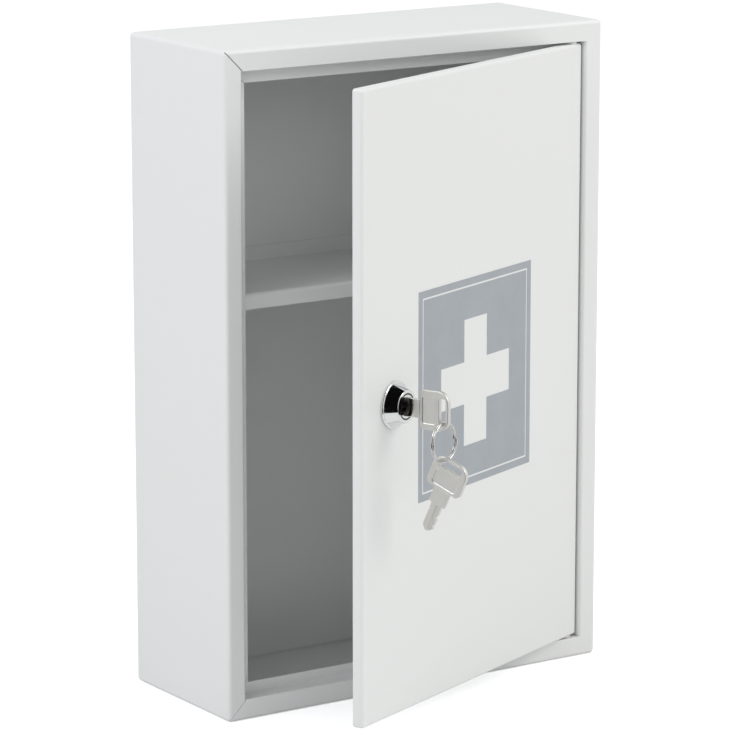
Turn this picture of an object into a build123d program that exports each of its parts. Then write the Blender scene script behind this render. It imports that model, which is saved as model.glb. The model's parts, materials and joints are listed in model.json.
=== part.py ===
from build123d import *
import math
import os

# Lockable medicine cabinet of folded sheet steel, in millimetres, with +Z up and the door facing -Y.
# The origin is the centre of the cabinet's base. The door is hinged at its right and stands ajar.

# ---- Cabinet body ----
body_width = 216.0
body_depth = 86.0
body_height = 320.0
sheet = 0.8            # thickness of every folded steel sheet
corner_bend = 2.2      # outer bend radius of the four long edges
edge_bend = 2.0        # outer bend radius where a wall turns into a front or rear flange
frame_face = 10.0      # width of the front frame
opening_bend = 1.6     # outer bend radius where the front frame turns into the rebate
stop_bend = 1.6        # outer bend radius where the rebate turns into the stop flange
rebate_depth = 10.0    # from the frame's face back to the stop flange
stop_width = 7.0       # how far the stop flange reaches into the opening, at the top and sides
base_stop_width = 5.0  # the same along the base
rear_flange = 12.0
seam_gap = 0.3         # open mitre seams of the stop flange, the rear flange and the door's lip
upper_seam_gap = 0.5   # open mitre seam at the front frame's upper left corner
lower_seam_gap = 0.2   # the same at the lower left; the two at the right are welded shut
seam_margin = 0.9      # sheet left whole outside a mitre seam
weld_gap = 0.15        # play between a welded piece and the sheet that carries it

# ---- Wall holes in the back panel ----
wall_hole_radius = 3.0
wall_hole_across = 150.0
wall_hole_up = 250.0

# ---- Shelf ----
shelf_top = 203.0
shelf_lip = 7.5
shelf_rear_lip = 8.0
shelf_setback = 1.2    # from the stop flange to the shelf's front lip
shelf_bend = 1.8

# ---- Door ----
door_gap = 1.2         # all round the closed door
door_depth = 6.0
door_corner = 1.5
door_bend = 1.5        # outer bend radius of the door's front edges
door_lip = 7.0         # folded lip at the back of the door, counted from its edge
lip_bend = 1.0         # outer bend radius of the door's rear edges
bend_margin = 0.01     # kept between a bend's radius and that of the rounded corner it runs round
rest_opening = 23.0    # how far the door stands open, in degrees

# ---- Hinge ----
pin_from_edge = 5.0    # hinge axis from the door's right edge
pin_from_face = 3.3    # hinge axis from the door's face
pin_radius = 1.1
pin_head_radius = 1.7
pin_head_height = 1.0
pin_tip_chamfer = 0.3
pin_running_gap = 0.06
pin_seat_gap = 0.02
pin_reach = 1.0        # pin beyond the bush's inner end
bush_wall = 0.4
bush_flange_radius = 2.6
bush_flange_height = 0.9
bush_seat_gap = 0.05
bracket_length = 14.0
bracket_drop = 12.0
bracket_thickness = 2.0

# ---- Rubber bumpers on the door's upper and lower lips ----
bumper_radius = 1.9
bumper_gap = 0.3       # left to the stop flange with the door closed
bumper_from_rim = 2.6  # from the door's upper or lower rim
bumper_from_edge = 60.0
bumper_round = 0.5

# ---- Printed emblem: a grey field with a white cross and a white line left bare ----
emblem_size = 100.0
emblem_below_centre = 1.0
emblem_border = 3.4
emblem_line = 0.9
emblem_ink = 0.12
cross_span = 61.0
cross_arm = 20.4

# ---- Lock housing, nut and washer. In the lock's own frame z = 0 is the door's face and +z points out ----
lock_from_edge = 26.0
head_radius = 11.3
head_rim_height = 1.3
head_rim_width = 0.9     # step from the rim in to the foot of the cone
head_rim_round = 0.6
head_height = 7.1
head_front_radius = 7.6
head_edge_round = 0.35
face_groove_radius = 6.3 # outer radius of the groove round the plug's flange
face_groove_depth = 0.8
barrel_radius = 7.9
barrel_flat = 7.0      # half the distance across the barrel's two flats
barrel_play = 0.15     # to the hole in the door, the washer and the nut
washer_radius = 11.0
washer_height = 0.9
nut_flats = 20.0
nut_height = 4.0
nut_chamfer = 0.8

# ---- Lock plug ----
plug_radius = 5.2
plug_running_gap = 0.07
plug_flange_radius = 5.5
plug_flange_height = 1.4
plug_face_drop = 0.1   # plug's face behind the housing's front
plug_dish_radius = 4.5
plug_dish_depth = 0.9
drive_square = 6.0
drive_play = 0.05
keyway_play = 0.15
keyway_end_wall = 3.4
axial_play = 0.1

# ---- Wafers in the plug ----
wafer_count = 5
wafer_thickness = 0.5
wafer_pitch = 2.3
wafer_width = 4.4
wafer_from_face = 3.5
wafer_inset = 0.1      # wafer ends inside the plug's surface

# ---- Stop washer and the lug that ends its quarter turn ----
lock_turn = 90.0
stop_washer_height = 0.8
stop_tab_radius = 7.0
stop_tab_width = 3.6
stop_tab_play = 3.0    # degrees free at each end of the turn
lug_radius = 6.9

# ---- Cam and its fastening ----
cam_clearance = 0.7    # between the cam and the stop flange it locks behind
cam_thickness = 2.0
cam_reach = 26.0
cam_hub_radius = 8.0
cam_tip_radius = 5.5
cam_washer_radius = 4.4
cam_washer_height = 0.9
screw_radius = 2.0
screw_hole_gap = 0.05
screw_head_radius = 3.8
screw_head_height = 2.4
screw_head_round = 0.8
screw_slot_width = 1.0
screw_slot_depth = 1.0

# ---- Keys ----
blade_thickness = 1.8
blade_width = 5.6
blade_groove_width = 1.3
blade_groove_depth = 0.45
blade_tip = 2.1        # slope at the corners of the blade's tip
bitting_depths = (0.5, 0.9, 0.3, 0.8, 0.5)
neck_width = 8.8
neck_length = 7.5
bow_width = 18.8
bow_length = 15.5
bow_thickness = 2.4
bow_outer_round = 5.6
bow_inner_round = 2.6
bow_edge_round = 0.4
bow_rim = 1.5
bow_recess = 0.3       # depth of the field inside the bow's rim
slot_length = 12.0
slot_width = 3.5
slot_round = 0.9
slot_from_end = 1.5
shoulder_play = 0.15

# ---- Split ring ----
ring_outer_radius = 9.6
ring_wire = 0.95
ring_pitch = 0.98
ring_turns = 2
ring_play = 0.5        # from the slot's lower end to the wire
ring_twist = 2.0       # ring's turn from the plane of the door, in degrees
spare_key_twist = 2.0  # spare key's turn from the first key's plane
spare_key_play = 1.4   # from the slot's end to the middle of the ring's wire
spare_key_drop = 0.8   # from the slot's side down to the wire

# ---- Places worked out from the sizes above ----
front = -body_depth / 2
rear = body_depth / 2
mid_height = body_height / 2
opening_width = body_width - 2 * frame_face
opening_height = body_height - 2 * frame_face
stop_front = front + rebate_depth
stop_back = stop_front + sheet
panel_back = rear - sheet
panel_front = panel_back - sheet
inner_half_width = body_width / 2 - sheet

door_width = opening_width - 2 * door_gap
door_height = opening_height - 2 * door_gap
door_back = front + door_depth
door_top = mid_height + door_height / 2
opening_top = mid_height + opening_height / 2

pin_x = door_width / 2 - pin_from_edge
pin_y = front + pin_from_face
door_middle = front + door_depth / 2
bush_radius = pin_radius + pin_running_gap + bush_wall
lock_x = -door_width / 2 + lock_from_edge

barrel_length = rebate_depth + sheet + cam_clearance - stop_washer_height - 2 * axial_play
plug_bore = plug_radius + plug_running_gap
plug_face = head_height - plug_face_drop
plug_flange_back = plug_face - plug_flange_height
cam_front = -(rebate_depth + sheet + cam_clearance)
cam_back = cam_front - cam_thickness
drive_end = cam_back + axial_play
blade_length = plug_face + barrel_length - keyway_end_wall
keyway_end = plug_face - blade_length - 2 * keyway_play
shoulder = plug_face + shoulder_play

bow_start = neck_length
bow_end = neck_length + bow_length
slot_middle = bow_end - slot_from_end - slot_width / 2
ring_mean_radius = ring_outer_radius - ring_wire / 2


def slab(outline, y_front, y_back):
    """Fills an outline drawn in X and Z from y_front back to y_back."""
    return extrude(Plane.XZ.offset(-y_back) * outline, y_back - y_front)


def centred(outline):
    """Moves an outline to the middle of the cabinet's height."""
    return Pos(0, mid_height) * outline


def rounded(width, height, radius):
    """A rectangle with rounded corners at the middle of the cabinet's height."""
    return centred(RectangleRounded(width, height, radius))


def edges_at_y(shape, y):
    """Edges that lie in the plane at y."""
    return shape.edges().filter_by_position(Axis.Y, y - 0.001, y + 0.001)


def outer_edges(shape, y, width, height):
    """Edges in the plane at y that run along the rim of a width by height outline."""
    half_width = width / 2 - corner_bend - 0.01
    half_height = height / 2 - corner_bend - 0.01
    return [
        edge
        for edge in edges_at_y(shape, y)
        if abs(edge.center().X) > half_width or abs(edge.center().Z - mid_height) > half_height
    ]


def mitre_cut(size, corner, ends, depths, gap=seam_gap):
    """A thin diagonal cut at one corner of an outline, between two distances inwards of that corner."""
    start, end = ends
    y_front, y_back = depths
    side, level = corner
    middle = (start + end) / 2
    place = Pos(
        side * (size[0] / 2 - middle),
        (y_front + y_back) / 2,
        mid_height + level * (size[1] / 2 - middle),
    )
    cut = Box((end - start) * math.sqrt(2), y_back - y_front, gap)
    return place * Rot(0, -side * level * 45, 0) * cut


def mitre_cuts(size, ends, depths):
    """The same cut at all four corners."""
    return [mitre_cut(size, (side, level), ends, depths) for side in (-1, 1) for level in (-1, 1)]


def pocket_rim(shape, y):
    """The four long edges of the front pocket's outline in the plane at y."""
    straight = edges_at_y(shape, y).filter_by(GeomType.LINE)
    return straight.sort_by_distance((0, y, mid_height))[:4]


def folded_block(inset):
    """The body's outline with its front pocket, as a block whose skin lies inset inside the body's."""
    wall = rounded(body_width - 2 * inset, body_height - 2 * inset, corner_bend - inset)
    block = slab(wall, front + inset, rear - inset)
    size = (body_width - 2 * inset, body_height - 2 * inset)
    block = fillet(outer_edges(block, front + inset, *size), edge_bend - inset)
    block = fillet(outer_edges(block, rear - inset, *size), edge_bend - inset)
    pocket = centred(Rectangle(opening_width + 2 * inset, opening_height + 2 * inset))
    block -= slab(pocket, front + inset, stop_front + inset)
    block = fillet(pocket_rim(block, front + inset), opening_bend - inset)
    return fillet(pocket_rim(block, stop_front + inset), stop_bend - sheet + inset)


def body_wrap():
    """Four walls from one strip, with a stepped front frame and a rear flange."""
    body = folded_block(0) - folded_block(sheet)
    clear_height = opening_height - stop_width - base_stop_width
    clear_middle = mid_height + (base_stop_width - stop_width) / 2
    clear = Pos(0, clear_middle) * Rectangle(opening_width - 2 * stop_width, clear_height)
    body -= slab(clear, stop_front, stop_back)
    rear_opening = centred(Rectangle(body_width - 2 * rear_flange, body_height - 2 * rear_flange))
    body -= slab(rear_opening, rear - sheet, rear)
    size = (body_width, body_height)
    frame_ends = (seam_margin, frame_face + opening_bend)
    frame_depths = (front, front + opening_bend)
    body -= mitre_cut(size, (-1, 1), frame_ends, frame_depths, upper_seam_gap)
    body -= mitre_cut(size, (-1, -1), frame_ends, frame_depths, lower_seam_gap)
    stop_ends = (frame_face + stop_bend, frame_face + stop_width + sheet)
    body -= mitre_cuts(size, stop_ends, (stop_front, stop_back))
    body -= mitre_cuts(size, (edge_bend, rear_flange + sheet), (rear - sheet, rear))
    for level in (-1, 1):
        hole = Cylinder(pin_radius + pin_seat_gap, 4 * sheet)
        body -= Pos(pin_x, pin_y, mid_height + level * opening_height / 2) * hole
    return body


def back_panel():
    """Flat panel welded to the front of the rear flange, with four holes for wall screws."""
    play = 2 * (edge_bend + weld_gap)
    outline = rounded(body_width - play, body_height - play, corner_bend)
    holes = GridLocations(wall_hole_across, wall_hole_up, 2, 2) * Circle(wall_hole_radius)
    return slab(outline - centred(Sketch() + holes), panel_front, panel_back)


def shelf():
    """Fixed shelf with a front lip and side lips turned down and a rear lip turned up."""
    half_width = inner_half_width - weld_gap
    shelf_front = stop_back + shelf_setback
    shelf_back = panel_front - weld_gap
    depth = shelf_back - shelf_front
    middle = (shelf_front + shelf_back) / 2
    block = Pos(0, middle, shelf_top - shelf_lip / 2) * Box(2 * half_width, depth, shelf_lip)
    front_edge = block.edges().filter_by(Axis.X).sort_by(Axis.Z)[-2:].sort_by(Axis.Y)[0]
    block = fillet(front_edge, shelf_bend)
    hollow = Box(2 * (half_width - sheet), depth, shelf_lip)
    hollow = Pos(0, middle + sheet, shelf_top - sheet - shelf_lip / 2) * hollow
    inner_edge = hollow.edges().filter_by(Axis.X).sort_by(Axis.Z)[-2:].sort_by(Axis.Y)[0]
    block -= fillet(inner_edge, shelf_bend - sheet)
    rear_lip = Box(2 * half_width, sheet, shelf_rear_lip)
    return block + Pos(0, shelf_back - sheet / 2, shelf_top - sheet + shelf_rear_lip / 2) * rear_lip


def closed_door_panel():
    """Door pan with four folded sides and a lip folded in at the back."""
    outline = rounded(door_width, door_height, door_corner)
    inside = rounded(door_width - 2 * sheet, door_height - 2 * sheet, door_corner - sheet)
    window = centred(Rectangle(door_width - 2 * door_lip, door_height - 2 * door_lip))
    door = slab(outline, front, door_back)
    door = fillet(edges_at_y(door, front), door_bend - bend_margin)
    door = fillet(edges_at_y(door, door_back), lip_bend)
    cavity = slab(inside, front + sheet, door_back - sheet)
    cavity = fillet(edges_at_y(cavity, front + sheet), door_bend - sheet - bend_margin)
    door -= fillet(edges_at_y(cavity, door_back - sheet), lip_bend - sheet)
    door -= slab(window, door_back - sheet, door_back)
    seam_ends = (2 * sheet, door_lip + sheet)
    door -= mitre_cuts((door_width, door_height), seam_ends, (door_back - sheet, door_back))
    hole = Circle(barrel_radius + barrel_play)
    hole &= Rectangle(2 * (barrel_flat + barrel_play), 4 * barrel_radius)
    door -= slab(Pos(lock_x, mid_height) * hole, front, front + sheet)
    for level in (-1, 1):
        bush_hole = Cylinder(bush_radius + bush_seat_gap, 4 * sheet)
        door -= Pos(pin_x, pin_y, mid_height + level * door_height / 2) * bush_hole
    return door


def upper_bracket():
    """Angle welded inside the door's corner, which carries the bush."""
    depth = door_depth - 2 * sheet - 2 * weld_gap
    right = door_width / 2 - sheet - weld_gap
    top = door_top - sheet - weld_gap
    leg = Pos(right - bracket_length / 2, door_middle, top - bracket_thickness / 2)
    bracket = leg * Box(bracket_length, depth, bracket_thickness)
    drop = Pos(right - bracket_thickness / 2, door_middle, top - bracket_drop / 2)
    bracket += drop * Box(bracket_thickness, depth, bracket_drop)
    corner = bracket.edges().filter_by(Axis.Y).sort_by(Axis.X)[-2:].sort_by(Axis.Z)[-1]
    bracket = fillet(corner, door_corner - sheet + bend_margin)
    outside = [
        edge
        for edge in edges_at_y(bracket, door_middle - depth / 2)
        if edge.center().X > right - bracket_thickness / 2 or edge.center().Z > top - bracket_thickness / 2
    ]
    bracket = fillet(outside, door_bend - sheet)
    hole = Cylinder(bush_radius + bush_seat_gap, 4 * bracket_thickness)
    return bracket - Pos(pin_x, pin_y, top) * hole


def upper_bush():
    """Flanged bush through the door's folded side and the bracket."""
    length = sheet + weld_gap + bracket_thickness
    sleeve = Pos(pin_x, pin_y, door_top - length / 2) * Cylinder(bush_radius, length)
    flange = Cylinder(bush_flange_radius, bush_flange_height)
    bush = sleeve + Pos(pin_x, pin_y, door_top + bush_flange_height / 2) * flange
    return bush - Pos(pin_x, pin_y, door_top) * Cylinder(pin_radius + pin_running_gap, 4 * length)


def upper_pin():
    """Headed hinge pin, riveted into the front frame and reaching down into the bush."""
    head_bottom = opening_top + sheet + pin_seat_gap
    bush_bottom = door_top - sheet - weld_gap - bracket_thickness
    length = head_bottom - bush_bottom + pin_reach
    shank = Pos(pin_x, pin_y, head_bottom - length / 2) * Cylinder(pin_radius, length)
    shank = chamfer(shank.edges().sort_by(Axis.Z)[0], pin_tip_chamfer)
    head = Cylinder(pin_head_radius, pin_head_height)
    return shank + Pos(pin_x, pin_y, head_bottom + pin_head_height / 2) * head


def lower(shape):
    """The same piece mirrored to the bottom of the door."""
    return mirror(shape, Plane.XY.offset(mid_height))


def closed_bumpers():
    """Two rubber buttons on the folded lips, which meet the stop flange."""
    height = stop_front - door_back - bumper_gap
    button = slab(Circle(bumper_radius), door_back, door_back + height)
    button = fillet(edges_at_y(button, door_back + height), bumper_round)
    x = -door_width / 2 + bumper_from_edge
    level = door_height / 2 - bumper_from_rim
    return [Pos(x, 0, mid_height + side * level) * button for side in (-1, 1)]


def closed_emblem():
    """Grey ink of the emblem: a border and a field with the cross left bare."""
    outer = Rectangle(emblem_size, emblem_size)
    line_outer = emblem_size - 2 * emblem_border
    field_size = line_outer - 2 * emblem_line
    border = outer - Rectangle(line_outer, line_outer)
    cross = Rectangle(cross_span, cross_arm) + Rectangle(cross_arm, cross_span)
    field = Rectangle(field_size, field_size) - cross
    place = Pos(0, mid_height - emblem_below_centre)
    return [slab(place * ink, front - emblem_ink, front) for ink in (border, field)]


def circle_edges(shape, radius, level):
    """Circular edges of one radius at one level along the z axis."""
    edges = shape.edges().filter_by(GeomType.CIRCLE).filter_by_position(Axis.Z, level, level)
    return [edge for edge in edges if math.isclose(edge.radius, radius)]


def lock_housing():
    """Conical head with a beaded rim, flat-sided barrel and the lug that ends the plug's turn."""
    flange_bore = plug_flange_radius + plug_running_gap
    profile = Polyline(
        (plug_bore, 0),
        (head_radius, 0),
        (head_radius, head_rim_height),
        (head_radius - head_rim_width, head_rim_height),
        (head_front_radius, head_height),
        (face_groove_radius, head_height),
        (face_groove_radius, head_height - face_groove_depth),
        (flange_bore, head_height - face_groove_depth),
        (flange_bore, plug_flange_back - axial_play),
        (plug_bore, plug_flange_back - axial_play),
        close=True,
    )
    head = revolve(Plane.XZ * make_face(profile), Axis.Z)
    head = fillet(circle_edges(head, head_radius, head_rim_height), head_rim_round)
    head = fillet(circle_edges(head, head_front_radius, head_height), head_edge_round)
    section = Circle(barrel_radius) & Rectangle(2 * barrel_flat, 4 * barrel_radius)
    barrel = extrude(section - Circle(plug_bore), -barrel_length)
    tab_angle = math.degrees(math.asin(stop_tab_width / 2 / plug_bore)) + stop_tab_play
    lug_start = 90 + tab_angle
    lug_sweep = 360 - lock_turn - 2 * tab_angle
    lug_height = stop_washer_height + axial_play
    lug_wall = lug_radius - plug_bore
    lug = Pos(plug_bore + lug_wall / 2, -barrel_length - lug_height / 2) * Rectangle(lug_wall, lug_height)
    lug = revolve(Plane.XZ * lug, Axis.Z, lug_sweep)
    return head + barrel + Rot(0, 0, lug_start) * lug


def washer():
    """Plain washer behind the door's sheet."""
    ring = Circle(washer_radius) - Circle(barrel_radius + barrel_play)
    return extrude(Pos(0, 0, -sheet - axial_play) * ring, -washer_height)


def nut():
    """Hexagon nut that clamps the housing in the door."""
    top = -sheet - 2 * axial_play - washer_height
    block = extrude(Pos(0, 0, top) * RegularPolygon(nut_flats / 2, 6, major_radius=False), -nut_height)
    crown = Pos(0, 0, top - nut_height) * extrude(Circle(nut_flats / math.sqrt(3)), nut_height)
    crown = chamfer(crown.edges().filter_by(GeomType.CIRCLE).sort_by(Axis.Z)[0], nut_chamfer)
    hole = Pos(0, 0, top - nut_height / 2) * Cylinder(barrel_radius + barrel_play, 2 * nut_height)
    return (block & crown) - hole


def wafer_levels():
    """Middle of each wafer along the lock's axis."""
    first = plug_face - wafer_from_face
    return [first - index * wafer_pitch for index in range(wafer_count)]


def plug():
    """Turning plug with a dished face, a keyway, wafer slots and a square end."""
    body = extrude(Circle(plug_radius), plug_flange_back)
    body += extrude(Circle(plug_radius), -barrel_length)
    body += extrude(Pos(0, 0, plug_flange_back) * Circle(plug_flange_radius), plug_flange_height)
    drive = Rectangle(drive_square, drive_square)
    body += extrude(Pos(0, 0, -barrel_length) * drive, drive_end + barrel_length)
    dish = Cone(plug_dish_radius - plug_dish_depth, plug_dish_radius, plug_dish_depth)
    body -= Pos(0, 0, plug_face - plug_dish_depth / 2) * dish
    keyway = Rectangle(blade_thickness + 2 * keyway_play, blade_width + 2 * keyway_play)
    body -= extrude(Pos(0, 0, keyway_end) * keyway, plug_face - keyway_end)
    slot = Box(wafer_width + 2 * wafer_inset, 2 * plug_radius, wafer_thickness + 2 * wafer_inset)
    for level in wafer_levels():
        body -= Pos(0, 0, level) * slot
    hole_depth = keyway_end - axial_play - drive_end
    body -= Pos(0, 0, drive_end + hole_depth / 2) * Cylinder(screw_radius + screw_hole_gap, hole_depth)
    return body


def wafers():
    """Spring-side plates whose windows the key's blade passes through."""
    outline = Rectangle(wafer_width, 2 * plug_radius) & Circle(plug_radius - wafer_inset)
    window = Rectangle(blade_thickness + 2 * keyway_play, blade_width + 2 * keyway_play)
    plate = extrude(outline - window, wafer_thickness / 2, both=True)
    return [Pos(0, 0, level) * plate for level in wafer_levels()]


def drive_hole():
    """Square hole that fits over the plug's end."""
    return Rectangle(drive_square + 2 * drive_play, drive_square + 2 * drive_play)


def stop_washer():
    """Disc on the plug's square end, with the tab that runs between the lug's ends."""
    disc = Circle(plug_radius)
    tab = Pos(0, stop_tab_radius / 2) * Rectangle(stop_tab_width, stop_tab_radius)
    return extrude(Pos(0, 0, cam_front + axial_play) * (disc + tab - drive_hole()), stop_washer_height)


def cam():
    """Flat cam that points down when unlocked and turns behind the stop flange."""
    tip = Pos(0, cam_tip_radius - cam_reach) * Circle(cam_tip_radius)
    outline = make_hull((Circle(cam_hub_radius) + tip).edges())
    return extrude(Pos(0, 0, cam_back) * (outline - drive_hole()), cam_thickness)


def cam_washer():
    """Washer between the cam and its screw."""
    ring = Circle(cam_washer_radius) - Circle(screw_radius + 2 * axial_play)
    return extrude(Pos(0, 0, cam_back - axial_play) * ring, -cam_washer_height)


def cam_screw():
    """Slotted screw in the end of the plug."""
    seat = cam_back - 2 * axial_play - cam_washer_height
    head = Pos(0, 0, seat - screw_head_height / 2) * Cylinder(screw_head_radius, screw_head_height)
    head = fillet(head.edges().filter_by(GeomType.CIRCLE).sort_by(Axis.Z)[0], screw_head_round)
    length = keyway_end - 4 * axial_play - seat
    slot = Box(3 * screw_head_radius, screw_slot_width, screw_slot_depth)
    head -= Pos(0, 0, seat - screw_head_height + screw_slot_depth / 2) * slot
    return head + Pos(0, 0, seat + length / 2) * Cylinder(screw_radius, length)


def key():
    """Flat key with its shoulder at z = 0, its blade along -z and its bow along +z."""
    half = blade_width / 2
    blade = Polyline(
        (-half, 0), (-half, blade_tip - blade_length), (blade_tip - half, -blade_length),
        (half - blade_tip, -blade_length), (half, blade_tip - blade_length), (half, 0), close=True,
    )
    blade = extrude(Plane.YZ * make_face(blade), blade_thickness / 2, both=True)
    for index, depth in enumerate(bitting_depths):
        level = wafer_levels()[index] - plug_face
        side = 1 if index % 2 == 0 else -1
        notch = Rot(45, 0, 0) * Box(2 * blade_thickness, depth * math.sqrt(2), depth * math.sqrt(2))
        blade -= Pos(0, side * half, level) * notch
    groove = Box(blade_groove_depth, blade_groove_width, blade_length)
    for side in (-1, 1):
        place = Pos(side * (blade_thickness - blade_groove_depth) / 2, side * half / 3, -blade_length / 2)
        blade -= place * groove
    neck = Pos(0, 0, (neck_length + bow_rim) / 2) * Box(blade_thickness, neck_width, neck_length + bow_rim)
    bow = Pos(0, 0, bow_start + bow_length / 2) * Box(bow_thickness, bow_width, bow_length)
    corners = bow.edges().filter_by(Axis.X).sort_by(Axis.Z)
    bow = fillet(corners[2:], bow_outer_round)
    corners = bow.edges().filter_by(Axis.X).sort_by(Axis.Z)
    bow = fillet(corners[:2], bow_inner_round)
    bow = fillet(bow.edges().filter_by_position(Axis.X, bow_thickness / 2, bow_thickness), bow_edge_round)
    bow = fillet(bow.edges().filter_by_position(Axis.X, -bow_thickness, -bow_thickness / 2), bow_edge_round)
    field_length = slot_middle - slot_width / 2 - bow_start - 2 * bow_rim
    field = Pos(0, 0, bow_start + bow_rim + field_length / 2)
    for side in (-1, 1):
        recess = Box(2 * bow_recess, bow_width - 2 * bow_rim - bow_outer_round / 2, field_length)
        recess = fillet(recess.edges().filter_by(Axis.X), bow_rim)
        bow -= field * Pos(side * bow_thickness / 2, 0, 0) * recess
    slot = Plane.YZ * Pos(0, slot_middle) * RectangleRounded(slot_length, slot_width, slot_round)
    return blade + neck + bow - extrude(slot, bow_thickness, both=True)


def split_ring():
    """Close turns of wire round the local z axis, with z = 0 midway between the turns at the top."""
    path = Helix(ring_pitch, ring_pitch * ring_turns, ring_mean_radius)
    start = Plane(origin=path @ 0, z_dir=path % 0)
    wire = sweep(start * Circle(ring_wire / 2), path)
    return Pos(0, 0, -ring_pitch * (ring_turns / 2 - 1 / 4)) * wire


# ---- Places on the open door ----
lock_plane = Plane(origin=(lock_x, front, mid_height), x_dir=(1, 0, 0), z_dir=(0, -1, 0))
swing = Pos(pin_x, pin_y, 0) * Rot(0, 0, rest_opening) * Pos(-pin_x, -pin_y, 0)
on_lock = swing * lock_plane.location

# The ring hangs in the lower end of the first key's slot, and the spare key in the ring's lowest point.
ring_top = -slot_length / 2 + ring_play + ring_wire / 2
hang_point = Pos(0, ring_top, shoulder + slot_middle)
ring_place = hang_point * Rot(0, -ring_twist, 0)
ring_centre = ring_place * Pos(0, -ring_mean_radius, 0)
ring_bottom = ring_place * Pos(0, -2 * ring_mean_radius, ring_pitch / 2)
spare_key_place = ring_bottom * Rot(0, ring_twist + spare_key_twist, 0)


def hung_key():
    """Spare key hanging by the end of its slot, with its centre of mass below the wire."""
    held_y = slot_length / 2 - spare_key_play
    held_z = slot_middle + slot_width / 2 - spare_key_drop - ring_wire / 2
    blank = key()
    lean = math.degrees(math.atan2(held_y, held_z - blank.center(CenterOf.MASS).Z))
    upright = Rot(-90, 0, 0)
    return spare_key_place * Rot(lean, 0, 0) * upright * Pos(0, -held_y, -held_z) * blank


def on_door(shapes):
    """Swings pieces drawn on the closed door to where the door stands."""
    return [swing * shape for shape in shapes]


def at_lock(shapes):
    """Moves pieces drawn in the lock's frame to the open door."""
    return [on_lock * shape for shape in shapes]


upper_hinge_bracket = upper_bracket()
bush = upper_bush()
upper_hinge_pin = upper_pin()

nodes = {
    "body_wrap": [body_wrap()],
    "back_panel": [back_panel()],
    "shelf": [shelf()],
    "upper_hinge_pin": [upper_hinge_pin],
    "lower_hinge_pin": [lower(upper_hinge_pin)],
    "door_panel": on_door([closed_door_panel()]),
    "upper_hinge_bracket": on_door([upper_hinge_bracket]),
    "lower_hinge_bracket": on_door([lower(upper_hinge_bracket)]),
    "hinge_bushes": on_door([bush, lower(bush)]),
    "door_bumpers": on_door(closed_bumpers()),
    "emblem_print": on_door(closed_emblem()),
    "lock_housing": at_lock([lock_housing()]),
    "lock_washer": at_lock([washer()]),
    "lock_nut": at_lock([nut()]),
    "lock_plug": at_lock([plug()]),
    "lock_wafers": at_lock(wafers()),
    "cam_stop_washer": at_lock([stop_washer()]),
    "lock_cam": at_lock([cam()]),
    "cam_washer": at_lock([cam_washer()]),
    "cam_screw": at_lock([cam_screw()]),
    "key_in_lock": at_lock([Pos(0, 0, shoulder) * key()]),
    "key_ring": at_lock([ring_centre * split_ring()]),
    "spare_key": at_lock([hung_key()]),
}

os.makedirs("parts", exist_ok=True)
for name, solids in nodes.items():
    shape = solids[0] if len(solids) == 1 else Compound(children=solids)
    export_step(shape, f"parts/{name}.step")
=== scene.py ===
import json
import math

import bmesh
import bpy
from mathutils import Matrix, Vector


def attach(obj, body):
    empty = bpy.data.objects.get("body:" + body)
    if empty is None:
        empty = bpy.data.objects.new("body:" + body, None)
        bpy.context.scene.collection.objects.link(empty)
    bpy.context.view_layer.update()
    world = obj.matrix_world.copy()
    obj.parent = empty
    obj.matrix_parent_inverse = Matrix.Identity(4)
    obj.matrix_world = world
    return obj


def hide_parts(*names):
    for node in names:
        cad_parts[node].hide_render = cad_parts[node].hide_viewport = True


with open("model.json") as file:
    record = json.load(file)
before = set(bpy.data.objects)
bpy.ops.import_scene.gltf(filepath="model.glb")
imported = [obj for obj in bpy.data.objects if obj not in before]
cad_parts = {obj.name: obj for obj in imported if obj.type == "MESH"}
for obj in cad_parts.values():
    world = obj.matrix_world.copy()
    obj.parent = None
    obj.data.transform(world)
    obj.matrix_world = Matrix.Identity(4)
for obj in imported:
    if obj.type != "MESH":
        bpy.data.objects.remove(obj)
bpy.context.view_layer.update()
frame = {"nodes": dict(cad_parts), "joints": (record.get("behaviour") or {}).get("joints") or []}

# Looks of a lockable medicine cabinet of powder-coated sheet steel. Everything is in metres, with +Z up,
# the door facing -Y and the origin at the centre of the cabinet's base.

cad = frame["nodes"]
scene = bpy.context.scene

# ---- Colours, as linear red, green and blue ----
COAT_WHITE = (0.800, 0.806, 0.800)
COAT_SHADE = (0.765, 0.775, 0.775)
INK_GREY = (0.382, 0.407, 0.441)
INK_DARK = (0.352, 0.377, 0.411)
CHROME = (0.78, 0.79, 0.79)
NICKEL = (0.76, 0.75, 0.72)
WIRE_SHADE = (0.52, 0.50, 0.50)
# painted shade: near-black grey for the plug's dished face and the groove round it, where they lie in shade
PAINTED_SHADE_BLACK = (0.030, 0.029, 0.027)
ZINC = (0.62, 0.64, 0.67)
BRASS = (0.72, 0.52, 0.26)
NYLON = (0.78, 0.78, 0.74)
RUBBER = (0.022, 0.022, 0.024)
RUBBER_DUST = (0.07, 0.07, 0.068)
VELVET = (0.004, 0.004, 0.004)
FLOOR_WHITE = (0.86, 0.86, 0.86)
WHITE = (1.0, 1.0, 1.0)

# ---- Places on the lock where the chrome is painted near-black as shade and made rougher ----
DISH_RADIUS = 0.0045     # dished face of the plug, painted near-black as shade
GROOVE_START = 0.0054    # groove round the plug, painted near-black as shade
GROOVE_END = 0.0063
MASK_EDGE = 0.00006      # soft edge of these two places of painted shade
NECK_BRIGHT = 0.0098     # from the door's face to where the key's neck begins to lose its polish
NECK_SATIN = 0.0138      # from the door's face to where the key is satin
SPANGLE = 0.0016         # width of the crystals in the zinc plate

# ---- Keys and split ring ----
MERGE_DISTANCE = 0.000002
KEY_VOXEL = 0.00016
KEY_SOFTENING = 8        # passes that round the keys' edges
RING_TURNS = 2
RING_PITCH = 0.00098
RING_WIRE = 0.00095
STEPS_PER_TURN = 120
WIRE_SIDES = 20

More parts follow.
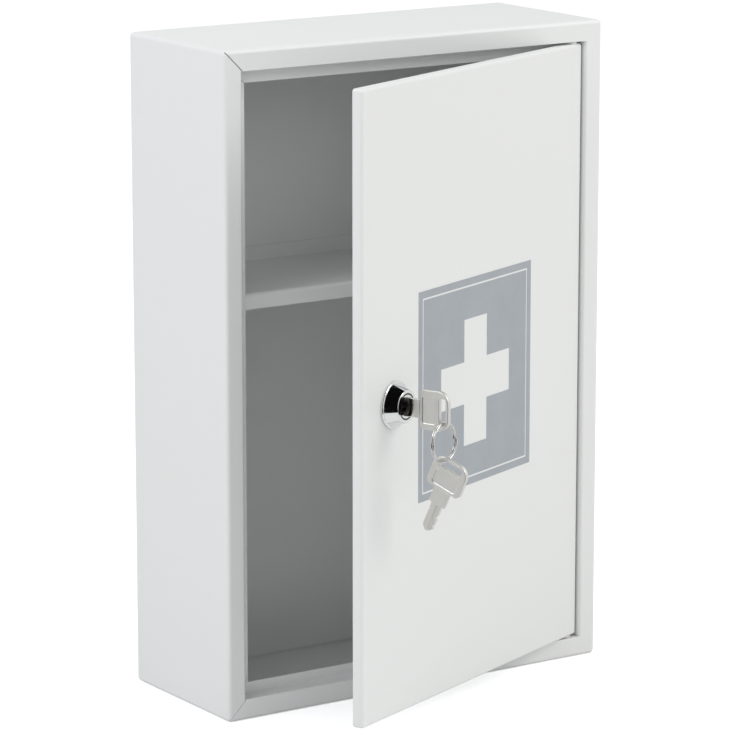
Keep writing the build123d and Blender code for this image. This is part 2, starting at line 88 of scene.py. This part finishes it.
# ---- Thread on the lock's barrel, behind the nut ----
BARREL_RADIUS = 0.0079
BARREL_FLAT = 0.00698    # half the distance across the flats, just under their faces
THREAD_START = -0.0100   # from the door's face
THREAD_END = -0.0062
THREAD_PITCH = 0.001
RIDGE_HEIGHT = 0.00022
RIDGE_RADIUS = 0.0004

# ---- Light ----
ROOM_LEVEL = 0.63
ROOM_IN_GLOSS = 0.7      # share of the room's white that reflections see
FLOOR_GLOW = 0.5         # added to the floor where the camera sees it
FLOOR_IN_GLOSS = 0.0     # share of that glow that reflections see
FLOOR_HALF = 8.0
FLAG_BEARING = math.radians(-128)
FLAG_START = math.radians(-32)
FLAG_END = math.radians(143)
FLAG_REACH = 1.3
FLAG_HALF_WIDTH = 0.5
FLAG_DROP = 0.98         # how far below the lock it reaches, as a share of the lock's height
FLAG_STEPS = 48
LAMP_AIM = (0, 0, 0.16)
# Each lamp's place, side, power in watts and colour.
LAMPS = {
    "right_softbox": ((1.0, -1.25, 1.2), 1.0, 10.8, (0.99, 1.0, 0.965)),
    "left_softbox": ((-1.0, -0.1, 1.25), 0.8, 7.6, (0.93, 0.96, 1.0)),
    "overhead_softbox": ((0.1, -0.5, 2.1), 1.6, 1.5, WHITE),
}

# ---- Camera: the photograph's viewing angle ----
CAMERA_PLACE = (-1.04612, -1.57247, 0.55527)
CAMERA_YAW = 33.629      # degrees right of +Y
CAMERA_PITCH = 12.063    # degrees below level
CAMERA_LENS = 193.1      # millimetres on a 36 mm sensor
CAMERA_SENSOR = 36
CAMERA_NEAREST = 0.05

# ---- Places of the lock, its ring and its keys, from the joints ----
joints = {joint["name"]: joint for joint in frame["joints"]}
LOCK_PLACE = Vector(joints["lock_turn"]["pos_m"])
LOCK_AXIS = Vector(joints["key_pull"]["axis"])     # out of the door
RING_TOP = Vector(joints["ring_swing"]["pos_m"])
RING_FOOT = Vector(joints["spare_key_swing"]["pos_m"])
UP = Vector((0, 0, 1))


class Socket:
    """An output in a node tree. Arithmetic on it adds Math nodes."""

    def __init__(self, tree, output):
        self.tree = tree
        self.output = output

    def math(self, operation, first, second):
        return self.tree.add("ShaderNodeMath", {"operation": operation}, {0: first, 1: second})

    def __add__(self, other):
        return self.math("ADD", self, other)

    def __radd__(self, other):
        return self.math("ADD", other, self)

    def __sub__(self, other):
        return self.math("SUBTRACT", self, other)

    def __rsub__(self, other):
        return self.math("SUBTRACT", other, self)

    def __mul__(self, other):
        return self.math("MULTIPLY", self, other)

    def __rmul__(self, other):
        return self.math("MULTIPLY", other, self)


class Tree:
    """Adds nodes to the tree of a material, of the world or of a Geometry Nodes group."""

    def __init__(self, tree):
        self.tree = tree

    def add(self, kind, settings=None, values=None, output=0):
        """Adds one node, with its settings first and then the values or links of its sockets."""
        node = self.tree.nodes.new(kind)
        for name, value in (settings or {}).items():
            if name == "stops":
                set_stops(node.color_ramp, value)
            else:
                setattr(node, name, value)
        for name, value in (values or {}).items():
            if isinstance(value, Socket):
                self.tree.links.new(value.output, node.inputs[name])
            else:
                node.inputs[name].default_value = value
        return Socket(self, node.outputs[output]) if node.outputs else None


def set_stops(ramp, stops):
    """Gives a colour ramp its stops, as pairs of position and grey level."""
    while len(ramp.elements) < len(stops):
        ramp.elements.new(0.5)
    for element, (position, level) in zip(ramp.elements, stops):
        element.position = position
        element.color = (level, level, level, 1)


def opaque(colour):
    return (*colour, 1)


def scaled(colour, factor):
    """A colour with its levels multiplied by a factor."""
    return tuple(factor * level for level in colour)


class Finish(Tree):
    """A material for one finish, with patterns on Object coordinates."""

    def __init__(self, name):
        self.material = bpy.data.materials.new(name)
        self.material.use_nodes = True
        super().__init__(self.material.node_tree)
        self.tree.nodes.clear()
        self.place = self.add("ShaderNodeTexCoord", output="Object")

    def noise(self, size, detail=2.0, roughness=0.5, place=None):
        """Noise from 0 to 1 whose features are about size metres across."""
        values = {
            "Vector": place or self.place, "Scale": 1 / size, "Detail": detail, "Roughness": roughness,
        }
        return self.add("ShaderNodeTexNoise", {"noise_dimensions": "3D"}, values)

    def stretched(self, scale, turn):
        """The place, turned and then stretched along its axes."""
        values = {"Vector": self.place, "Rotation": turn, "Scale": scale}
        return self.add("ShaderNodeMapping", {"vector_type": "TEXTURE"}, values)

    def vector(self, operation, first, second=None, output="Vector"):
        values = {0: first} if second is None else {0: first, 1: second}
        return self.add("ShaderNodeVectorMath", {"operation": operation}, values, output)

    def from_axis(self, point, axis):
        """How far the place lies from an axis, and how far along it from a point on it."""
        offset = self.vector("SUBTRACT", self.place, point)
        across = self.vector("CROSS_PRODUCT", offset, axis)
        distance = self.vector("LENGTH", across, output="Value")
        along = self.vector("DOT_PRODUCT", offset, axis, "Value")
        return distance, along

    def ramp(self, value, *stops):
        return self.add("ShaderNodeValToRGB", {"stops": stops}, {"Fac": value})

    def step(self, value, low, high):
        """0 where a value is at low or before it and 1 where it is at high or past it."""
        values = {"Value": value, "From Min": low, "From Max": high}
        return self.add("ShaderNodeMapRange", {"interpolation_type": "SMOOTHSTEP"}, values)

    def blend(self, factor, first, second):
        """Mixes two colours by a factor."""
        colours = {0: factor, 6: self.colour_value(first), 7: self.colour_value(second)}
        return self.add("ShaderNodeMix", {"data_type": "RGBA"}, colours, output=2)

    def colour_value(self, colour):
        return colour if isinstance(colour, Socket) else opaque(colour)

    def bump(self, height, distance, strength=1.0, below=None):
        """A normal from a height of the given size in metres, over another normal if one is given."""
        values = {"Height": height, "Distance": distance, "Strength": strength}
        if below:
            values["Normal"] = below
        return self.add("ShaderNodeBump", None, values)

    def surface(self, colour, roughness, normal, constants):
        """Ends the material in one Principled shader and returns the material."""
        values = {"Base Color": self.colour_value(colour), "Roughness": roughness, "Normal": normal}
        shader = self.add("ShaderNodeBsdfPrincipled", None, {**values, **constants})
        self.add("ShaderNodeOutputMaterial", None, {"Surface": shader})
        return self.material

    def metal(self, colour, roughness, normal):
        return self.surface(colour, roughness, normal, {"Metallic": 1.0})


# ---- Finishes ----
def powder_coat():
    """Satin white powder coat with a faint orange peel."""
    coat = Finish("white_powder_coat")
    cloud = coat.noise(0.11, 3)
    peel = coat.noise(0.0016, 2, 0.45)
    grain = coat.noise(0.00032, 1)
    colour = coat.blend(0.25 * cloud + 0.12 * grain, COAT_WHITE, COAT_SHADE)
    roughness = 0.36 + 0.10 * cloud + 0.06 * grain
    normal = coat.bump(peel, 0.00002, 0.5)
    normal = coat.bump(grain, 0.000004, 0.4, normal)
    return coat.surface(colour, roughness, normal, {"IOR": 1.5})


def emblem_ink():
    """Flat grey screen-printing ink with slightly uneven cover."""
    ink = Finish("emblem_ink")
    cover = ink.noise(0.012, 4, 0.6)
    mesh = ink.noise(0.0005, 1)
    thin = ink.ramp(0.7 * cover + 0.3 * mesh, (0.35, 0.0), (0.65, 1.0))
    normal = ink.bump(mesh, 0.000006, 0.5)
    return ink.surface(ink.blend(thin, INK_GREY, INK_DARK), 0.42 + 0.12 * mesh, normal, {"IOR": 1.48})


def chrome(name, shade_start, shade_end):
    """Bright chrome plate with faint smudges and hairline scratches, with painted shade between two radii:
    near-black, mottled and rougher.
    """
    plate = Finish(name)
    smudge = plate.ramp(plate.noise(0.006, 4, 0.6), (0.45, 0.0), (0.75, 1.0))
    hair = plate.noise(0.0004, 2, 0.5, plate.stretched((12, 1, 1), (0.3, 0.9, 0.2)))
    colour = plate.blend(0.35 * smudge, CHROME, scaled(CHROME, 0.9))
    roughness = 0.045 + 0.07 * smudge + 0.03 * hair
    radius, _ = plate.from_axis(LOCK_PLACE, LOCK_AXIS)
    # painted shade: near-black mottled colour between the two radii, where the dish and the groove lie in
    # shade
    outwards = plate.step(radius, shade_start - MASK_EDGE, shade_start)
    painted_shade = outwards * (1 - plate.step(radius, shade_end - MASK_EDGE, shade_end))
    shade_mottle = plate.noise(0.0009, 4, 0.7)
    colour = plate.blend(painted_shade, colour, plate.blend(shade_mottle, PAINTED_SHADE_BLACK, scaled(PAINTED_SHADE_BLACK, 3)))
    roughness = roughness + painted_shade * (0.16 + 0.2 * shade_mottle)
    return plate.metal(colour, roughness, plate.bump(hair, 0.000002, 0.25))


def nickel():
    """Satin nickel plate over a slightly grainy key blank, polished where its neck enters the lock."""
    plate = Finish("nickel")
    cast = plate.noise(0.0005, 3, 0.6)
    tone = plate.noise(0.005, 3)
    _, from_door = plate.from_axis(LOCK_PLACE, LOCK_AXIS)
    satin = plate.step(from_door, NECK_BRIGHT, NECK_SATIN)
    colour = plate.blend(0.4 * tone + 0.3 * cast, NICKEL, scaled(NICKEL, 0.86))
    roughness = 0.10 + satin * (0.25 + 0.08 * tone + 0.06 * cast)
    return plate.metal(colour, roughness, plate.bump(cast, 0.000009, 0.5))


def ring_wire():
    """Nickel-plated spring wire with dull patches and a faint grain."""
    plate = Finish("nickel_wire")
    dull = plate.noise(0.006, 2)
    grain = plate.noise(0.0005, 2)
    colour = plate.blend(0.7 * dull + 0.1 * grain, NICKEL, WIRE_SHADE)
    return plate.metal(colour, 0.17 + 0.08 * dull + 0.03 * grain, plate.bump(grain, 0.0000005, 0.3))


def zinc_steel():
    """Zinc-plated steel with a soft spangle."""
    plate = Finish("zinc_steel")
    values = {"Vector": plate.place, "Scale": 1 / SPANGLE}
    cells = plate.add("ShaderNodeTexVoronoi", {"feature": "F1"}, values, "Distance")
    fine = plate.noise(0.0004, 2)
    colour = plate.blend(0.5 * cells + 0.2 * fine, ZINC, scaled(ZINC, 0.78))
    return plate.metal(colour, 0.28 + 0.14 * cells + 0.08 * fine, plate.bump(fine, 0.00001, 0.4))


def brass():
    """Punched brass plate."""
    plate = Finish("brass")
    fine = plate.noise(0.0006, 3)
    colour = plate.blend(0.6 * fine, BRASS, scaled(BRASS, 0.75))
    return plate.metal(colour, 0.28 + 0.14 * fine, plate.bump(fine, 0.00001, 0.4))


def nylon():
    """Moulded natural nylon."""
    plastic = Finish("white_nylon")
    flow = plastic.noise(0.003, 3)
    fine = plastic.noise(0.0003, 1)
    colour = plastic.blend(flow, NYLON, scaled(NYLON, 0.93))
    normal = plastic.bump(fine, 0.000008, 0.5)
    constants = {"IOR": 1.53, "Subsurface Weight": 0.25, "Subsurface Scale": 0.001}
    return plastic.surface(colour, 0.42 + 0.10 * flow, normal, constants)


def rubber():
    """Matt black rubber with dust in its grain."""
    bumper = Finish("black_rubber")
    grain = bumper.noise(0.0005, 3)
    dust = bumper.ramp(grain, (0.55, 0.0), (0.75, 1.0))
    colour = bumper.blend(0.5 * dust, RUBBER, RUBBER_DUST)
    normal = bumper.bump(grain, 0.00004, 0.6)
    return bumper.surface(colour, 0.68 + 0.2 * grain, normal, {"IOR": 1.5})


def wear(finish, *names):
    """Gives CAD nodes their finish."""
    for name in names:
        cad[name].material_slots[0].material = finish


powder = powder_coat()
# both chromes carry painted shade between their two radii: the groove on the housing, the dished face on
# the plug
housing_chrome = chrome("housing_chrome", GROOVE_START, GROOVE_END)
plug_chrome = chrome("plug_chrome", -MASK_EDGE, DISH_RADIUS)
key_nickel = nickel()
wire_nickel = ring_wire()
zinc = zinc_steel()
wear(powder, "body_wrap", "back_panel", "shelf", "door_panel", "upper_hinge_bracket", "lower_hinge_bracket")
wear(emblem_ink(), "emblem_print")
wear(housing_chrome, "lock_housing")
wear(plug_chrome, "lock_plug")
wear(zinc, "upper_hinge_pin", "lower_hinge_pin", "lock_washer", "lock_nut", "cam_stop_washer", "lock_cam",
     "cam_washer", "cam_screw")
wear(brass(), "lock_wafers")
wear(nylon(), "hinge_bushes")
wear(rubber(), "door_bumpers")


# ---- Keys, split ring and barrel thread ----
def new_object(name, data):
    """An object at the origin that holds a mesh, a lamp or a camera."""
    made = bpy.data.objects.new(name, data)
    scene.collection.objects.link(made)
    return made


def plain_mesh(piece):
    """Gives a piece the mesh that its modifiers make and takes the modifiers off."""
    bpy.context.view_layer.update()
    made = bpy.data.meshes.new_from_object(piece.evaluated_get(bpy.context.evaluated_depsgraph_get()))
    piece.modifiers.clear()
    piece.data = made
    made.name = piece.name


def stands_for(piece, body, node):
    """Makes a piece ride on a body in place of a CAD node."""
    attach(piece, body)
    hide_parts(node)


def coined_key(name, node, body):
    """A key with the soft edges of a coined and plated blank, from the solid of its CAD node."""
    shape = bmesh.new()
    shape.from_mesh(cad[node].data)
    bmesh.ops.remove_doubles(shape, verts=shape.verts, dist=MERGE_DISTANCE)
    mesh = bpy.data.meshes.new(name)
    shape.to_mesh(mesh)
    shape.free()
    key = new_object(name, mesh)
    skin = key.modifiers.new("skin", "REMESH")
    skin.mode = "VOXEL"
    skin.voxel_size = KEY_VOXEL
    soft = key.modifiers.new("soft_edges", "SMOOTH")
    soft.factor = 0.5
    soft.iterations = KEY_SOFTENING
    plain_mesh(key)
    key.data.materials.clear()
    key.data.materials.append(key_nickel)
    key.data.polygons.foreach_set("use_smooth", [True] * len(key.data.polygons))
    stands_for(key, body, node)


def coil_tree():
    """A Geometry Nodes tree for close right-handed turns of round wire about its own z axis."""
    group = bpy.data.node_groups.new("coil_of_wire", "GeometryNodeTree")
    sockets = {"Turns": "Float", "Coil Radius": "Float", "Pitch": "Float", "Wire Radius": "Float",
               "Material": "Material"}
    for name, kind in sockets.items():
        group.interface.new_socket(name, in_out="INPUT", socket_type="NodeSocket" + kind)
    group.interface.new_socket("Mesh", in_out="OUTPUT", socket_type="NodeSocketGeometry")
    tree = Tree(group)
    given = {name: tree.add("NodeGroupInput", output=name) for name in sockets}
    line = tree.add("GeometryNodeCurveSpiral", None, {
        "Resolution": STEPS_PER_TURN, "Rotations": given["Turns"], "Start Radius": given["Coil Radius"],
        "End Radius": given["Coil Radius"], "Height": given["Turns"] * given["Pitch"], "Reverse": True,
    })
    section = tree.add("GeometryNodeCurvePrimitiveCircle", {"mode": "RADIUS"}, {
        "Resolution": WIRE_SIDES, "Radius": given["Wire Radius"],
    })
    swept = {"Curve": line, "Profile Curve": section, "Fill Caps": True}
    wire = tree.add("GeometryNodeCurveToMesh", None, swept)
    wire = tree.add("GeometryNodeSetShadeSmooth", None, {"Geometry": wire})
    wire = tree.add("GeometryNodeRealizeInstances", None, {"Geometry": wire})
    wire = tree.add("GeometryNodeSetMaterial", None, {"Geometry": wire, "Material": given["Material"]})
    tree.add("NodeGroupOutput", None, {"Mesh": wire})
    return group


COIL_TREE = coil_tree()


def coil(name, place, values):
    """A piece made of the coil tree with these inputs, in the given place."""
    piece = new_object(name, bpy.data.meshes.new(name))
    modifier = piece.modifiers.new("coil", "NODES")
    modifier.node_group = COIL_TREE
    for item in COIL_TREE.interface.items_tree:
        if item.in_out == "INPUT":
            modifier[item.identifier] = values[item.name]
    plain_mesh(piece)
    piece.data.transform(place)
    return piece


def barrel_thread():
    """Raised thread on the barrel, cut by the barrel's two flats."""
    values = {
        "Turns": (THREAD_END - THREAD_START) / THREAD_PITCH,
        "Coil Radius": BARREL_RADIUS + RIDGE_HEIGHT - RIDGE_RADIUS,
        "Pitch": THREAD_PITCH, "Wire Radius": RIDGE_RADIUS, "Material": housing_chrome,
    }
    ridge = coil("barrel_thread", Matrix.Identity(4), values)
    for vertex in ridge.data.vertices:
        vertex.co.x = min(max(vertex.co.x, -BARREL_FLAT), BARREL_FLAT)
    turn = Matrix((UP.cross(LOCK_AXIS), UP, LOCK_AXIS)).transposed().to_4x4()
    ridge.data.transform(Matrix.Translation(LOCK_PLACE + THREAD_START * LOCK_AXIS) @ turn)
    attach(ridge, "door")


def split_ring():
    """Split ring of two close turns, hung between the two keys."""
    swing_axis = Vector(joints["ring_swing"]["axis"])
    across = UP.cross(swing_axis)
    turn = Matrix((-swing_axis, UP, across)).transposed().to_4x4()
    radius = (RING_TOP.z - RING_FOOT.z) / 2
    start = -RING_PITCH * (RING_TURNS / 2 - 1 / 4)
    place = Matrix.Translation(RING_TOP - radius * UP + start * across) @ turn
    values = {
        "Turns": float(RING_TURNS), "Coil Radius": radius, "Pitch": RING_PITCH,
        "Wire Radius": RING_WIRE / 2, "Material": wire_nickel,
    }
    stands_for(coil("split_ring_wire", place, values), "ring", "key_ring")


barrel_thread()
coined_key("key_with_soft_edges", "key_in_lock", "key")
coined_key("spare_key_with_soft_edges", "spare_key", "hanging_key")
split_ring()


# ---- Floor, world, lights and camera ----
def in_view(tree, in_gloss):
    """1 where the camera sees a surface, this share where a reflection does, 0 where it lights others."""
    camera_ray = tree.add("ShaderNodeLightPath", output="Is Camera Ray")
    glossy_ray = tree.add("ShaderNodeLightPath", output="Is Glossy Ray")
    return camera_ray.math("MAXIMUM", camera_ray, in_gloss * glossy_ray)


def pale_floor():
    """White floor that takes the object's shadow and meets a white background."""
    floor = Finish("pale_floor")
    speck = floor.noise(0.004, 2)
    shade = floor.blend(0.4 * speck, FLOOR_WHITE, scaled(FLOOR_WHITE, 0.98))
    matt = floor.add("ShaderNodeBsdfDiffuse", None, {"Color": shade})
    glow = floor.add("ShaderNodeEmission", None, {"Color": opaque(WHITE), "Strength": FLOOR_GLOW})
    both = floor.add("ShaderNodeAddShader", None, {0: matt, 1: glow})
    shown = floor.add("ShaderNodeMixShader", None, {0: in_view(floor, FLOOR_IN_GLOSS), 1: matt, 2: both})
    floor.add("ShaderNodeOutputMaterial", None, {"Surface": shown})
    return floor.material


def flat_floor():
    """Large level sheet under the cabinet."""
    mesh = bpy.data.meshes.new("floor")
    corners = [(-1, -1), (1, -1), (1, 1), (-1, 1)]
    mesh.from_pydata([(FLOOR_HALF * x, FLOOR_HALF * y, 0) for x, y in corners], [], [(0, 1, 2, 3)])
    mesh.materials.append(pale_floor())
    sheet = new_object("floor", mesh)


def white_world():
    """Soft room light, which the camera sees as plain white."""
    world = bpy.data.worlds.new("studio")
    world.use_nodes = True
    world.node_tree.nodes.clear()
    studio = Tree(world.node_tree)
    room = studio.add("ShaderNodeBackground", None, {"Color": opaque(WHITE), "Strength": ROOM_LEVEL})
    white = studio.add("ShaderNodeBackground", None, {"Color": opaque(WHITE), "Strength": 1.0})
    seen = in_view(studio, ROOM_IN_GLOSS)
    shown = studio.add("ShaderNodeMixShader", None, {0: seen, 1: room, 2: white})
    studio.add("ShaderNodeOutputWorld", None, {"Surface": shown})
    scene.world = world


def black_flag():
    """Black sheet bent over the lock from the camera's side, which only reflections see."""
    towards = Vector((math.cos(FLAG_BEARING), math.sin(FLAG_BEARING), 0))
    sideways = FLAG_HALF_WIDTH * UP.cross(towards)
    corners = []
    for step in range(FLAG_STEPS + 1):
        angle = FLAG_START + (FLAG_END - FLAG_START) * step / FLAG_STEPS
        reach = FLAG_REACH
        if angle < 0:
            reach = min(reach, LOCK_PLACE.z * FLAG_DROP / math.sin(-angle))
        middle = LOCK_PLACE + reach * (math.cos(angle) * towards + math.sin(angle) * UP)
        corners += [middle - sideways, middle + sideways]
    strips = [(2 * step, 2 * step + 1, 2 * step + 3, 2 * step + 2) for step in range(FLAG_STEPS)]
    mesh = bpy.data.meshes.new("black_flag")
    mesh.from_pydata(corners, [], strips)
    velvet = Finish("black_velvet")
    black = velvet.add("ShaderNodeBsdfDiffuse", None, {"Color": opaque(VELVET)})
    velvet.add("ShaderNodeOutputMaterial", None, {"Surface": black})
    mesh.materials.append(velvet.material)
    flag = new_object("black_flag", mesh)
    flag.visible_camera = False
    flag.visible_diffuse = False
    flag.visible_shadow = False
    flag.visible_transmission = False


def softbox(name, place, side, power, colour):
    """One soft square lamp that faces the middle of the cabinet."""
    light = bpy.data.lights.new(name, "AREA")
    light.color = colour
    light.shape = "SQUARE"
    light.size = side
    light.energy = power
    lamp = new_object(name, light)
    lamp.location = place
    lamp.rotation_euler = (Vector(LAMP_AIM) - lamp.location).to_track_quat("-Z", "Y").to_euler()


def photo_camera():
    """Camera at the photograph's place and angle."""
    lens = bpy.data.cameras.new("photo_camera")
    lens.sensor_width = CAMERA_SENSOR
    lens.lens = CAMERA_LENS
    lens.clip_start = CAMERA_NEAREST
    camera = new_object("photo_camera", lens)
    camera.location = CAMERA_PLACE
    camera.rotation_euler = (math.radians(90 - CAMERA_PITCH), 0, -math.radians(CAMERA_YAW))
    scene.camera = camera


flat_floor()
white_world()
black_flag()
for lamp_name, settings in LAMPS.items():
    softbox(lamp_name, *settings)
photo_camera()
scene.view_settings.view_transform = "Standard"
